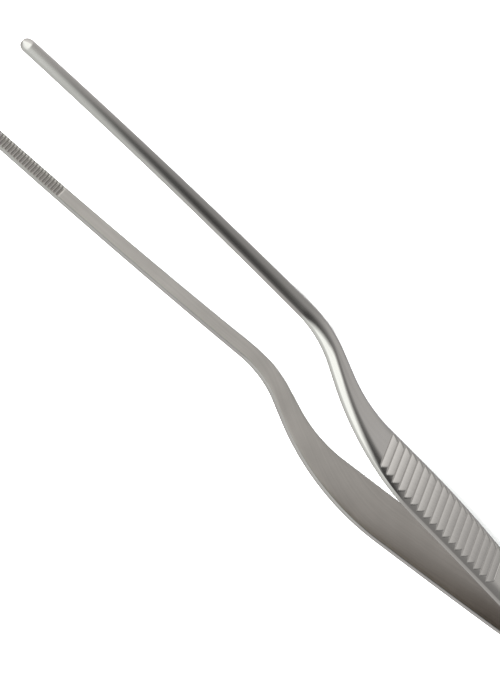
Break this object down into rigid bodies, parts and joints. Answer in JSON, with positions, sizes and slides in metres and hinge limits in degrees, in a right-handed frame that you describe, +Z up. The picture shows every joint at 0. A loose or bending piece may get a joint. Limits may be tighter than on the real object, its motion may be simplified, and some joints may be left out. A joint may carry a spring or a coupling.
{
  "type": "aquascaping tweezers",
  "caption": "Long offset aquascaping tweezers of brushed steel, with bowed spring arms, grooved grips and finely toothed tips.",
  "frame": {"origin": "bottom centre of the bounding box, on the surface the tweezers lie on", "axes": "+X from tail to tips, +Y the way the left arm opens, +Z up"},
  "size_m": [0.2004, 0.0284, 0.0163],
  "materials": {
    "steel": "satin, brushed along the length",
    "weld_metal": "plain"
  },
  "bodies": {
    "tail": {"left_tail_tab": "steel", "right_tail_tab": "steel", "left_spring_leaf": "steel", "right_spring_leaf": "steel", "tail_welds": "weld_metal"},
    "left_arm": {"left_arm": "steel"},
    "right_arm": {"right_arm": "steel"}
  },
  "joints": [
    {"name": "left_arm_flex", "type": "hinge", "parent": "tail", "child": "left_arm", "pos_m": [-0.06026, 0.00227, 0.00697], "axis": [0.0918, 0, -0.9958], "range_deg": [0, 4.41], "stiffness_Nm_per_rad": 1.6, "deforming": ["left_spring_leaf"]},
    {"name": "right_arm_flex", "type": "hinge", "parent": "tail", "child": "right_arm", "pos_m": [-0.06026, -0.00227, 0.00697], "axis": [-0.0918, 0, 0.9958], "range_deg": [0, 4.41], "stiffness_Nm_per_rad": 1.6, "deforming": ["right_spring_leaf"]}
  ]
}
